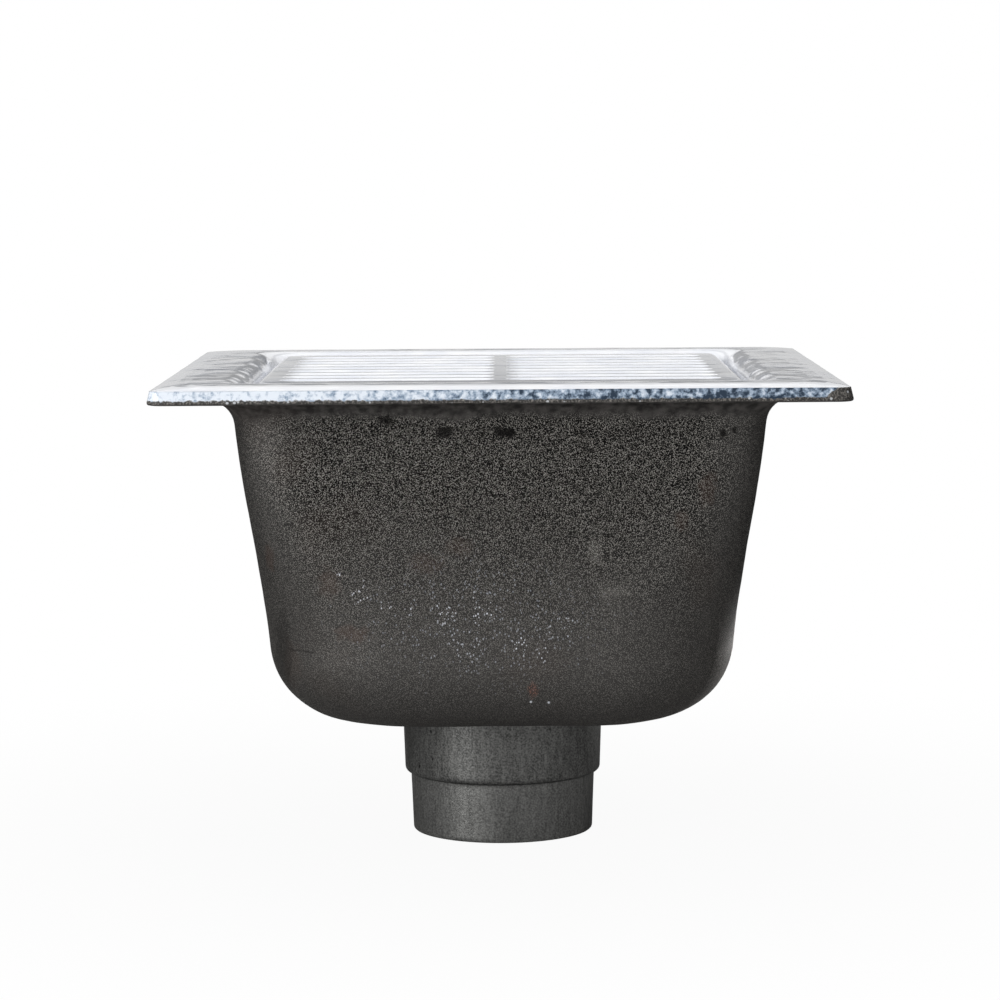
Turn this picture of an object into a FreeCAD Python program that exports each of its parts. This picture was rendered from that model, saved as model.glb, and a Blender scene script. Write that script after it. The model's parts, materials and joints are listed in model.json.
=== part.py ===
import FreeCAD, Part
import math
import os

from FreeCAD import Vector

# A square cast-iron floor sink: flanged tub with a round outlet, loose grate, loose dome strainer.
# Millimetres, +Z up, origin at the centre of the outlet spigot's end face.

# Flange and its rim
flange_side = 304.8
flange_corner = 6.0
overall_height = 221.0
rim_height = 6.4          # the bevelled rim face, from the underside up to the lip
rim_bevel = 1.5           # how far the rim face leans in
rim_edge_round = 1.1      # lower edge of the rim face
crown_rise = 1.4          # the flange top swells above the lip
crown_width = 14.0        # from the lip in to the level top
under_flange_round = 13.0

# Tub: flat leaning walls whose corners grow rounder towards the bottom
tub_top_half = 120.5
tub_bottom_half = 101.5
tub_bottom = 59.8
tub_top_corner = 22.0
tub_bottom_corner = 66.0
tub_bottom_round = 38.0
wall = 6.5

# Grate pocket and ledge inside the rim
pocket_side = 225.0
pocket_corner = 15.0
pocket_round = 10.0
ledge_width = 8.0
ledge_nose = 3.0
ledge_foot = 197.0        # where the ledge's sloping underside ends
ledge_step = 1.5          # flat left at its foot against the wall

# Outlet: drafted collar and plain spigot for a 3 in hubless pipe coupling
collar_top_radius = 47.4
collar_bottom_radius = 46.2
collar_bottom = 28.0
collar_chamfer = 2.0
spigot_radius = 42.55
spigot_chamfer = 1.2
outlet_bore_radius = 38.1

# Floor of the tub and the strainer's seat
floor_fall = 1.6
floor_fall_radius = 62.0
seat_radius = 46.0
seat_depth = 3.5

# Grate
grate_side = 219.0
grate_corner = 12.0
grate_thickness = 11.0
grate_sink = 1.2          # grate top below the crown of the flange
grate_edge_round = 4.0
grate_rows = 9
slot_pitch = 21.3
slot_width = 13.3
slot_end = 97.5           # slot ends from the middle of the grate
middle_bar = 8.0
slot_chamfer = 1.3

# Dome strainer
strainer_base_radius = 45.0
dome_base_radius = 41.0
dome_height = 30.0
dome_wall = 3.2
dome_bands = 4
skirt_radius = 37.2
skirt_depth = 6.0
strainer_slots = 12
strainer_slot_width = 5.0
strainer_slot_foot = 4.0
strainer_crown_radius = 15.0

# Levels that follow
lip_level = overall_height - crown_rise
flange_underside = lip_level - rim_height
grate_top = overall_height - grate_sink
ledge_level = grate_top - grate_thickness
floor_level = tub_bottom + wall
seat_top = floor_level - floor_fall
seat_level = seat_top - seat_depth
clear = 1.0               # cutting tools run this far past a face
slack = 0.02              # edges this close to a level count as lying on it

axis = Vector(0, 0, 1)
origin = Vector(0, 0, 0)


def share_down(level):
    """How far down the tub's wall a level lies, 0 at the flange and 1 at the tub's bottom."""
    return (flange_underside - level) / (flange_underside - tub_bottom)


def tub_half(level):
    return tub_top_half + (tub_bottom_half - tub_top_half) * share_down(level)


def tub_corner(level):
    return tub_top_corner + (tub_bottom_corner - tub_top_corner) * share_down(level)


def rounded_square(level, half, corner):
    """Outline of a square with rounded corners round the drain's axis."""
    flat = half - corner
    diagonal = flat + corner * math.sqrt(0.5)
    edges = []
    for quarter in range(4):
        turn = FreeCAD.Rotation(axis, 90 * quarter)
        start = turn.multVec(Vector(half, -flat, level))
        bend = turn.multVec(Vector(half, flat, level))
        middle = turn.multVec(Vector(diagonal, diagonal, level))
        end = turn.multVec(Vector(flat, half, level))
        edges.append(Part.LineSegment(start, bend).toShape())
        edges.append(Part.Arc(bend, middle, end).toShape())
    return Part.Wire(edges)


def prism(bottom, top, half, corner):
    """Upright solid of one rounded square between two levels."""
    face = Part.Face(rounded_square(bottom, half, corner))
    return face.extrude(Vector(0, 0, top - bottom))


def crossed(outline):
    """Solid with the same section from both sides: a closed XZ outline run along Y and along X."""
    face = Part.Face(outline)
    face.translate(Vector(0, -flange_side, 0))
    along = face.extrude(Vector(0, 2 * flange_side, 0))
    across = along.copy()
    across.rotate(origin, axis, 90)
    return along.common(across)


def turned(points):
    """Solid of revolution round the drain's axis from (radius, level) points."""
    outline = Part.makePolygon([Vector(radius, 0, level) for radius, level in points + points[:1]])
    return Part.Face(outline).revolve(origin, axis, 360)


def edges_at(shape, level, reach=flange_side):
    """Level edges of a shape that stay within a half-width of the axis."""
    def fits(box):
        level_edge = abs(box.ZMin - level) < slack and abs(box.ZMax - level) < slack
        return level_edge and max(box.XMax, -box.XMin, box.YMax, -box.YMin) < reach
    return [edge for edge in shape.Edges if fits(edge.BoundBox)]


def flange():
    """Square flange: rounded lower edge, bevelled rim face, lip, and a top that swells to its crown."""
    half = flange_side / 2
    lip_half = half - rim_bevel
    crown_half = lip_half - crown_width
    swell = (crown_width ** 2 + crown_rise ** 2) / (2 * crown_rise)
    middle = crown_width / 2
    middle_drop = swell - math.sqrt(swell ** 2 - middle ** 2)
    softness = rim_edge_round * (1 - math.sqrt(0.5))

    def side(sign):
        def at(x, level):
            return Vector(sign * x, 0, level)
        return [
            Part.Arc(at(half - rim_edge_round, flange_underside),
                     at(half - softness, flange_underside + softness),
                     at(half, flange_underside + rim_edge_round)).toShape(),
            Part.LineSegment(at(half, flange_underside + rim_edge_round), at(lip_half, lip_level)).toShape(),
            Part.Arc(at(lip_half, lip_level),
                     at(crown_half + middle, overall_height - middle_drop),
                     at(crown_half, overall_height)).toShape(),
        ]

    def level_line(reach, level):
        return Part.LineSegment(Vector(-reach, 0, level), Vector(reach, 0, level)).toShape()

    bottom = level_line(half - rim_edge_round, flange_underside)
    top = level_line(crown_half, overall_height)
    edges = Part.__sortEdges__(side(1) + side(-1) + [bottom, top])
    slab = crossed(Part.Wire(edges))
    return slab.common(prism(flange_underside - clear, overall_height + clear, half, flange_corner))


def leaning_box(bottom, top, inset):
    """The tub's square taper between two levels, inset by a wall thickness, its corners still sharp."""
    low = tub_half(bottom) - inset
    high = tub_half(top) - inset
    return crossed(Part.makePolygon([
        Vector(-low, 0, bottom), Vector(low, 0, bottom), Vector(high, 0, top), Vector(-high, 0, top),
        Vector(-low, 0, bottom)]))


def tub_form(bottom, top, inset):
    """Tub with corners that grow rounder downwards and a rolled bottom edge."""
    solid = leaning_box(bottom, top, inset)
    low = tub_corner(bottom) - inset
    high = tub_corner(top) - inset
    for quarter in range(4):
        outward = FreeCAD.Rotation(axis, 45 + 90 * quarter).multVec(Vector(1, 0, 0))
        rising = [edge for edge in solid.Edges if edge.BoundBox.ZLength > top - bottom - slack
                  and isinstance(edge.Curve, Part.Line)]
        corner = max(rising, key=lambda edge: edge.CenterOfMass.dot(outward) / edge.CenterOfMass.Length)
        upward = corner.Vertexes[0].Point.z < corner.Vertexes[-1].Point.z
        first, last = (low, high) if upward else (high, low)
        solid = solid.makeFillet(first, last, [corner])
    return solid.makeFillet(tub_bottom_round - inset, edges_at(solid, bottom))


def outlet_outside():
    """Drafted collar stepping down to the plain spigot, turned round the axis."""
    return turned([
        (0, 0),
        (spigot_radius - spigot_chamfer, 0),
        (spigot_radius, spigot_chamfer),
        (spigot_radius, collar_bottom),
        (collar_bottom_radius - collar_chamfer, collar_bottom),
        (collar_bottom_radius, collar_bottom + collar_chamfer),
        (collar_top_radius, tub_bottom + wall / 2),
        (0, tub_bottom + wall / 2),
    ])


def mouth():
    """Grate pocket with its ledge, flaring below into the tub."""
    pocket = prism(ledge_level, overall_height + clear, pocket_side / 2, pocket_corner)
    throat_half = pocket_side / 2 - ledge_width
    throat_corner = pocket_corner - ledge_width / 2
    nose_level = ledge_level - ledge_nose
    throat = prism(nose_level, ledge_level, throat_half, throat_corner)
    flare = Part.makeLoft([
        rounded_square(nose_level, throat_half, throat_corner),
        rounded_square(ledge_foot, tub_half(ledge_foot) - wall - ledge_step, tub_corner(ledge_foot) - wall),
    ], True, True)
    return pocket.fuse([throat, flare])


def floor_and_bore():
    """Shallow fall of the floor to the strainer's seat, and the bore out through the spigot."""
    return turned([
        (0, -clear),
        (outlet_bore_radius, -clear),
        (outlet_bore_radius, seat_level),
        (seat_radius, seat_level),
        (seat_radius, seat_top),
        (floor_fall_radius, floor_level),
        (floor_fall_radius, floor_level + clear),
        (0, floor_level + clear),
    ])


def body():
    tub = tub_form(tub_bottom, flange_underside, 0)
    outside = flange().fuse([tub, outlet_outside()]).removeSplitter()
    outside = outside.makeFillet(under_flange_round, edges_at(outside, flange_underside, tub_top_half + 1))
    hollow = tub_form(floor_level, ledge_foot, wall).fuse([mouth(), floor_and_bore()])
    casting = outside.cut(hollow).removeSplitter()
    return casting.makeFillet(pocket_round, edges_at(casting, overall_height, pocket_side / 2 + 1))


def slot(side, row):
    """One grate slot with round ends."""
    radius = slot_width / 2
    reach = sorted((side * (middle_bar / 2 + radius), side * (slot_end - radius)))
    across = (row - (grate_rows - 1) / 2) * slot_pitch
    ends = [Part.makeCylinder(radius, grate_thickness, Vector(x, across, ledge_level)) for x in reach]
    middle = Part.makeBox(reach[1] - reach[0], slot_width, grate_thickness,
                          Vector(reach[0], across - radius, ledge_level))
    return middle.fuse(ends).removeSplitter()


def grate():
    """Flat cast plate with a rolled outer edge and two columns of softened slots."""
    plate = prism(ledge_level, grate_top, grate_side / 2, grate_corner)
    plate = plate.makeFillet(grate_edge_round, edges_at(plate, grate_top))
    plate = plate.cut([slot(side, row) for side in (-1, 1) for row in range(grate_rows)])
    return plate.makeChamfer(slot_chamfer, edges_at(plate, grate_top, slot_end + clear))


def dome_slot(index):
    """One radial slot from the dome's foot up towards its plain crown."""
    cutter = Part.makeBox(
        dome_base_radius, strainer_slot_width, dome_height,
        Vector(strainer_crown_radius, -strainer_slot_width / 2, seat_top + strainer_slot_foot))
    cutter.rotate(origin, axis, 360 * index / strainer_slots)
    return cutter


def dome_profile(offset):
    """Points from the dome's foot to its crown on a ball, in straight bands, inset by an offset."""
    ball = (dome_base_radius ** 2 + dome_height ** 2) / (2 * dome_height)
    centre = seat_top + dome_height - ball
    foot = math.asin((seat_top - centre) / (ball - offset))
    crown = math.acos(strainer_crown_radius / ball)
    points = []
    for band in range(dome_bands + 1):
        angle = foot + (crown - foot) * band / dome_bands
        points.append(((ball - offset) * math.cos(angle), centre + (ball - offset) * math.sin(angle)))
    return points


def dome_strainer():
    """Slotted dome on a flat ring, with a short skirt that centres it in the bore."""
    outside = dome_profile(0)
    inside = dome_profile(dome_wall)
    crown = [(0, outside[-1][1]), (0, inside[-1][1])]
    dome = turned(outside + crown + inside[::-1])
    dome = dome.cut([dome_slot(index) for index in range(strainer_slots)])
    ring = turned([
        (skirt_radius - dome_wall, seat_level - skirt_depth),
        (skirt_radius, seat_level - skirt_depth),
        (skirt_radius, seat_level),
        (strainer_base_radius, seat_level),
        (strainer_base_radius, seat_top),
        (skirt_radius - dome_wall, seat_top),
    ])
    return dome.fuse(ring).removeSplitter()


nodes = {"body": body, "grate": grate, "dome_strainer": dome_strainer}
os.makedirs("parts", exist_ok=True)
for name, make in nodes.items():
    shape = make()
    shape.exportStep("parts/" + name + ".step")
    print(name, "valid", shape.isValid(), "solids", len(shape.Solids), "cm3", round(shape.Volume / 1000, 1))
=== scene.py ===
import json
import math

import bpy
from mathutils import Matrix, Vector

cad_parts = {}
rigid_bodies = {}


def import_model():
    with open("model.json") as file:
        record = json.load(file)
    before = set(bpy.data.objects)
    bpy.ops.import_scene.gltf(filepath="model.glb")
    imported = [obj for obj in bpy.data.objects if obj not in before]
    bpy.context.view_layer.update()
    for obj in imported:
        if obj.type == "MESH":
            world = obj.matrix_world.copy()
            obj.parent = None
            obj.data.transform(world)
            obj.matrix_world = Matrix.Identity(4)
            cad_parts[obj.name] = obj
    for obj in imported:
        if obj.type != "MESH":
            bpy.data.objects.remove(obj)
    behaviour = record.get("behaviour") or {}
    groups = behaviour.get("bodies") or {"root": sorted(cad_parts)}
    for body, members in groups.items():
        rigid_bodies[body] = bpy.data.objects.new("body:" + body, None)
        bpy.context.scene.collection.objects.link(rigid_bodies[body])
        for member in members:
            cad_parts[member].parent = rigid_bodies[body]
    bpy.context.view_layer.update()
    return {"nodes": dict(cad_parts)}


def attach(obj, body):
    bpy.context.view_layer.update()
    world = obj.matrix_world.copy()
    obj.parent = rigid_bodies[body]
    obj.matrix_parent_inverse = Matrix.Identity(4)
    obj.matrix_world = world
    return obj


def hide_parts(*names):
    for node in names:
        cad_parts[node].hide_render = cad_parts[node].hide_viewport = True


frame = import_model()
mm = 0.001                # sizes below are in millimetres
print("frame loaded:", ", ".join(sorted(frame["nodes"])))


# Small helpers

def clearSelection():
    if bpy.context.object and bpy.context.object.mode != "OBJECT":
        bpy.ops.object.mode_set(mode="OBJECT")
    bpy.ops.object.select_all(action="DESELECT")


def linear(code):
    parts = [int(code[i:i + 2], 16) / 255 for i in (1, 3, 5)]
    return tuple(p / 12.92 if p <= 0.04045 else ((p + 0.055) / 1.055) ** 2.4 for p in parts) + (1.0,)


def addNode(tree, kind, settings=None, sockets=None):
    made = tree.nodes.new(kind)
    for name, value in (settings or {}).items():
        setattr(made, name, value)
    for key, value in (sockets or {}).items():
        if isinstance(value, bpy.types.NodeSocket):
            tree.links.new(value, made.inputs[key])
        else:
            made.inputs[key].default_value = value
    return made


def newMaterial(name):
    material = bpy.data.materials.new(name)
    material.use_nodes = True
    tree = material.node_tree
    shader = next(n for n in tree.nodes if n.type == "BSDF_PRINCIPLED")
    place = addNode(tree, "ShaderNodeTexCoord").outputs["Object"]
    return material, tree, shader, place


def perMetre(size):
    return 1 / (size * mm)      # texture scale for a pattern of this size in millimetres


def modifier(piece, kind, **settings):
    made = piece.modifiers.new(kind.lower(), kind)
    for name, value in settings.items():
        setattr(made, name, value)
    bpy.context.view_layer.objects.active = piece
    bpy.ops.object.modifier_apply(modifier=made.name)


# Materials

ironLook = {
    "hollow": "#080808",       # between the sand grains
    "grain": "#928f8a",        # their worn tops
    "plain": "#585654",        # the smoother lower wall
    "band": "#5f5c5a",         # coat run together under the flange, painted lighter against the flange's shadow
    "shade": "#2c2b2a",
    "brown": "#58463d",
    "pool": "#0e0d0d",         # coat lying thick in a dip
    "chalk": "#e9ebf3",
    "spray": "#c3c7d1",
    "fleck": "#dfe3ea",
    "rust": "#b06c55",
    "scuff": "#a5a29c",
    "ridge": "#747270",        # coat rubbed thin along the corners, with a painted sheen
    "grainSize": 0.4,
    "limeSize": 0.85,
    "blotchSize": 4.0,
    "driftSize": 26.0,
    "stainSize": 60.0,
    "grainFades": (115.0, 205.0),      # levels between which the grain gains its full strength
    "bandLevel": 206.0,
    "cornerWearAndSheen": (95.0, 125.0),       # distance from both middle planes where the corners are worn and painted lighter as a sheen
    "marked": (-35.0, -65.0),          # the marks lie on the front, from here forward
}
marksAndShade = [    # x, z, half width and half height on the front wall, kind, share
    (-12.0, 113.0, 58.0, 32.0, "spray", 0.42),
    (-72.0, 135.0, 1.2, 3.0, "chalk", 0.9),
    (-62.4, 125.7, 4.6, 6.6, "chalk", 0.7),
    (-51.5, 120.0, 3.2, 4.2, "chalk", 0.75),
    (-25.4, 118.1, 5.4, 5.2, "chalk", 1.0),
    (-12.5, 125.5, 2.8, 2.8, "chalk", 0.75),
    (-4.8, 118.6, 2.8, 6.2, "chalk", 1.0),
    (-11.0, 116.5, 2.4, 5.0, "chalk", 0.7),
    (-42.0, 120.5, 3.0, 5.0, "chalk", 0.6),
    (-16.5, 102.2, 13.0, 10.5, "chalk", 0.26),
    (8.1, 102.9, 4.4, 4.8, "chalk", 1.0),
    (19.2, 99.9, 3.8, 10.5, "chalk", 0.6),
    (30.1, 110.8, 7.0, 5.6, "chalk", 0.4),
    (31.6, 90.7, 1.4, 1.8, "chalk", 0.8),
    (12.9, 75.8, 0.7, 0.7, "fleck", 0.9),
    (20.9, 75.5, 0.7, 0.7, "fleck", 0.9),
    (13.8, 82.0, 2.4, 4.4, "rust", 0.5),
    (-33.5, 140.0, 9.0, 5.5, "brown", 0.18),
    (-18.7, 147.0, 7.0, 5.0, "brown", 0.18),
    (-75.7, 131.0, 6.0, 7.0, "brown", 0.25),
    (-66.6, 108.0, 9.0, 4.0, "brown", 0.3),
    (-103.5, 141.0, 2.6, 7.0, "brown", 0.35),
    (-95.0, 92.0, 5.0, 13.0, "brown", 0.18),
    (91.0, 172.5, 4.5, 9.0, "brown", 0.24),
    (80.3, 158.7, 3.5, 6.0, "brown", 0.2),
    # painted shade down the lower left corner's flank, where little light reaches
    (-99.0, 95.0, 5.0, 22.0, "shade", 0.45),
    (-90.5, 98.2, 10.0, 0.7, "pool", 0.35),
    (-49.9, 204.1, 4.0, 2.2, "pool", 0.8),
    (-25.0, 198.5, 5.0, 3.4, "pool", 0.85),
    (2.6, 198.0, 4.6, 2.4, "pool", 0.9),
    (-1.0, 200.2, 3.0, 1.6, "pool", 0.7),
    (33.0, 193.8, 3.0, 1.3, "pool", 0.5),
    (38.0, 190.6, 3.0, 1.3, "pool", 0.5),
    (97.8, 197.2, 2.2, 2.4, "pool", 0.85),
    (102.6, 198.8, 1.3, 2.0, "pool", 0.8),
    (41.5, 145.6, 3.6, 8.0, "scuff", 0.34),
    (50.3, 126.5, 8.0, 3.4, "scuff", 0.3),
]


def coatedIron():
    # sand-cast grey iron under a thin dark dip coat: the sand's grain glitters, the coat pools and rubs
    # off; painted sheen along the corners, painted light under the flange and painted shade on one lower
    # corner
    material, tree, shader, place = newMaterial("sand cast iron, dip coated")
    axes = addNode(tree, "ShaderNodeSeparateXYZ", None, {0: place}).outputs
    # turned off the walls' own directions, so that the pattern's rows don't show on them
    askew = addNode(tree, "ShaderNodeMapping", None, {
        "Vector": place, "Rotation": (0.5, 0.7, 0.3)}).outputs[0]
    fine = addNode(tree, "ShaderNodeTexNoise", None, {
        "Vector": askew, "Scale": perMetre(ironLook["grainSize"]), "Detail": 0.0}).outputs[0]
    broad = addNode(tree, "ShaderNodeTexNoise", None, {
        "Vector": place, "Scale": perMetre(ironLook["driftSize"]),
        "Detail": 3.0, "Roughness": 0.6}).outputs[0]
    patch = addNode(tree, "ShaderNodeTexNoise", None, {
        "Vector": place, "Scale": perMetre(ironLook["stainSize"]), "Detail": 2.0}).outputs[0]
    ragged = addNode(tree, "ShaderNodeTexNoise", None, {
        "Vector": place, "Scale": perMetre(ironLook["blotchSize"]), "Detail": 2.0}).outputs[0]

    # grain is strong high on the wall and dies out downwards and under the flange
    wander = addNode(tree, "ShaderNodeMath", {"operation": "MULTIPLY_ADD"}, {
        0: broad, 1: 50 * mm, 2: axes[2]}).outputs[0]
    faint, full = (level * mm for level in ironLook["grainFades"])
    lower = addNode(tree, "ShaderNodeMapRange", {"interpolation_type": "SMOOTHSTEP"}, {
        "Value": wander, "From Min": faint, "From Max": full, "To Min": 0.42, "To Max": 1.0}).outputs[0]
    edge = addNode(tree, "ShaderNodeMath", {"operation": "MULTIPLY_ADD"}, {
        0: broad, 1: 12 * mm, 2: axes[2]}).outputs[0]
    band = addNode(tree, "ShaderNodeMapRange", {"interpolation_type": "SMOOTHSTEP"}, {
        "Value": edge, "From Min": (ironLook["bandLevel"] + 3) * mm,
        "From Max": (ironLook["bandLevel"] + 9) * mm, "To Max": 0.8}).outputs[0]
    unband = addNode(tree, "ShaderNodeMath", {"operation": "SUBTRACT"}, {0: 1.0, 1: band}).outputs[0]
    strength = addNode(tree, "ShaderNodeMath", {"operation": "MULTIPLY"}, {0: lower, 1: unband}).outputs[0]
    # along the corners the coat is worn smoother and painted a little lighter, partly as a painted sheen
    sides = addNode(tree, "ShaderNodeVectorMath", {"operation": "ABSOLUTE"}, {0: place}).outputs[0]
    sides = addNode(tree, "ShaderNodeSeparateXYZ", None, {0: sides}).outputs
    ridge = addNode(tree, "ShaderNodeMath", {"operation": "MINIMUM"}, {0: sides[0], 1: sides[1]}).outputs[0]
    ridge = addNode(tree, "ShaderNodeMath", {"operation": "MULTIPLY_ADD"}, {
        0: broad, 1: 30 * mm, 2: ridge}).outputs[0]
    start, stop = (reach * mm for reach in ironLook["cornerWearAndSheen"])
    corner = addNode(tree, "ShaderNodeMapRange", {"interpolation_type": "SMOOTHSTEP"}, {
        "Value": ridge, "From Min": start, "From Max": stop}).outputs[0]
    worn = addNode(tree, "ShaderNodeMath", {"operation": "MULTIPLY_ADD"}, {
        0: corner, 1: -0.25, 2: 1.0}).outputs[0]
    strength = addNode(tree, "ShaderNodeMath", {"operation": "MULTIPLY"}, {0: strength, 1: worn}).outputs[0]
    # painted sheen along the corners, together with the coat rubbed thin
    rubbedAndSheen = addNode(tree, "ShaderNodeMath", {"operation": "MULTIPLY"}, {0: corner, 1: 0.18}).outputs[0]

    sharp = addNode(tree, "ShaderNodeMapRange", None, {
        "Value": fine, "From Min": 0.568, "From Max": 0.622}).outputs[0]
    grain = addNode(tree, "ShaderNodeMix", {"data_type": "RGBA"}, {
        0: sharp, 6: linear(ironLook["hollow"]), 7: linear(ironLook["grain"])}).outputs[2]
    colour = addNode(tree, "ShaderNodeMix", {"data_type": "RGBA"}, {
        0: strength, 6: linear(ironLook["plain"]), 7: grain}).outputs[2]
    colour = addNode(tree, "ShaderNodeMix", {"data_type": "RGBA"}, {
        0: rubbedAndSheen, 6: colour, 7: linear(ironLook["ridge"])}).outputs[2]
    blotch = addNode(tree, "ShaderNodeMapRange", None, {
        "Value": ragged, "From Min": 0.35, "From Max": 0.65}).outputs[0]
    # under the flange the coat runs smoother; its colour there is painted lighter against the flange's
    # shadow
    run = addNode(tree, "ShaderNodeMix", {"data_type": "RGBA"}, {
        0: blotch, 6: linear(ironLook["shade"]), 7: linear(ironLook["band"])}).outputs[2]
    colour = addNode(tree, "ShaderNodeMix", {"data_type": "RGBA"}, {0: band, 6: colour, 7: run}).outputs[2]
    brownish = addNode(tree, "ShaderNodeMapRange", {"interpolation_type": "SMOOTHSTEP"}, {
        "Value": patch, "From Min": 0.58, "From Max": 0.75, "To Max": 0.1}).outputs[0]
    colour = addNode(tree, "ShaderNodeMix", {"data_type": "RGBA"}, {
        0: brownish, 6: colour, 7: linear(ironLook["brown"])}).outputs[2]

    # marks of handling and lime, and one patch of painted shade: lime sits in dots, rust on the tops of the
    # grains, scuffs lie as a veil
    back, fore = (y * mm for y in ironLook["marked"])
    front = addNode(tree, "ShaderNodeMapRange", {"interpolation_type": "SMOOTHSTEP"}, {
        "Value": axes[1], "From Min": back, "From Max": fore}).outputs[0]
    tops = addNode(tree, "ShaderNodeMath", {"operation": "MULTIPLY"}, {0: sharp, 1: front}).outputs[0]
    veil = addNode(tree, "ShaderNodeMath", {"operation": "MULTIPLY_ADD"}, {
        0: sharp, 1: 0.65, 2: 0.35}).outputs[0]
    veil = addNode(tree, "ShaderNodeMath", {"operation": "MULTIPLY"}, {0: veil, 1: front}).outputs[0]
    runs = addNode(tree, "ShaderNodeMapping", None, {
        "Vector": place, "Rotation": (0.5, 0.7, 0.3), "Scale": (1.15, 1.0, 0.75)}).outputs[0]
    cells = addNode(tree, "ShaderNodeTexVoronoi", None, {
        "Vector": runs, "Scale": perMetre(ironLook["limeSize"])}).outputs
    # dots of many sizes, most cells with none
    size = addNode(tree, "ShaderNodeMapRange", None, {
        "Value": cells["Color"], "From Min": 0.5, "From Max": 0.8,
        "To Min": 0.0, "To Max": 0.44}).outputs[0]
    dots = addNode(tree, "ShaderNodeMath", {"operation": "SUBTRACT"}, {
        0: size, 1: cells["Distance"]}).outputs[0]
    dots = addNode(tree, "ShaderNodeMapRange", {"interpolation_type": "SMOOTHSTEP"}, {
        "Value": dots, "From Min": -0.02, "From Max": 0.05}).outputs[0]
    dots = addNode(tree, "ShaderNodeMath", {"operation": "MULTIPLY"}, {0: dots, 1: front}).outputs[0]
    few = addNode(tree, "ShaderNodeMath", {"operation": "GREATER_THAN"}, {
        0: cells["Color"], 1: 0.78}).outputs[0]
    spray = addNode(tree, "ShaderNodeMath", {"operation": "MULTIPLY"}, {0: dots, 1: few}).outputs[0]
    carriers = {"chalk": dots, "spray": spray, "scuff": veil, "rust": tops}
    bright = 0.8      # metallic: the coat is thin enough for the iron to glint through, lime is not
    for x, z, wide, high, kind, share in marksAndShade:
        spot = addNode(tree, "ShaderNodeVectorMath", {"operation": "MULTIPLY_ADD"}, {
            0: place, 1: (1 / (wide * mm), 0.0, 1 / (high * mm)),
            2: (-x / wide, 0.0, -z / high)}).outputs[0]
        away = addNode(tree, "ShaderNodeVectorMath", {"operation": "LENGTH"}, {0: spot}).outputs["Value"]
        away = addNode(tree, "ShaderNodeMath", {"operation": "MULTIPLY_ADD"}, {
            0: ragged, 1: 1.6, 2: away}).outputs[0]
        cover = addNode(tree, "ShaderNodeMapRange", {"interpolation_type": "SMOOTHSTEP"}, {
            "Value": away, "From Min": 2.0, "From Max": 1.2, "To Max": share}).outputs[0]
        cover = addNode(tree, "ShaderNodeMath", {"operation": "MULTIPLY"}, {
            0: cover, 1: carriers.get(kind, front)}).outputs[0]
        if kind in ("chalk", "spray", "fleck"):
            bright = addNode(tree, "ShaderNodeMix", None, {0: cover, 2: bright, 3: 0.0}).outputs[0]
        colour = addNode(tree, "ShaderNodeMix", {"data_type": "RGBA"}, {
            0: cover, 6: colour, 7: linear(ironLook[kind])}).outputs[2]

    relief = addNode(tree, "ShaderNodeMath", {"operation": "MULTIPLY"}, {0: fine, 1: strength}).outputs[0]
    bump = addNode(tree, "ShaderNodeBump", None, {
        "Strength": 0.5, "Distance": 0.4 * mm, "Height": relief}).outputs[0]
    rough = addNode(tree, "ShaderNodeMapRange", None, {
        "Value": relief, "From Min": 0.1, "From Max": 0.7, "To Min": 0.66, "To Max": 0.44}).outputs[0]
    tree.links.new(bright, shader.inputs["Metallic"])
    # the coat stays dark along its outline
    shader.inputs["Specular Tint"].default_value = (0.35, 0.35, 0.35, 1.0)
    tree.links.new(colour, shader.inputs["Base Color"])
    tree.links.new(rough, shader.inputs["Roughness"])
    tree.links.new(bump, shader.inputs["Normal"])
    return material


outletLook = {
    "dark": "#464645",
    "light": "#7b7b79",
    "pit": "#121212",
    "grainSize": 0.85,
    "streak": 1.8,
    "pitSize": 8.0,
    "paintedSpigotLight": 28.0,           # below this level the spigot is painted a little brighter, as painted light from the floor
}


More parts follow.
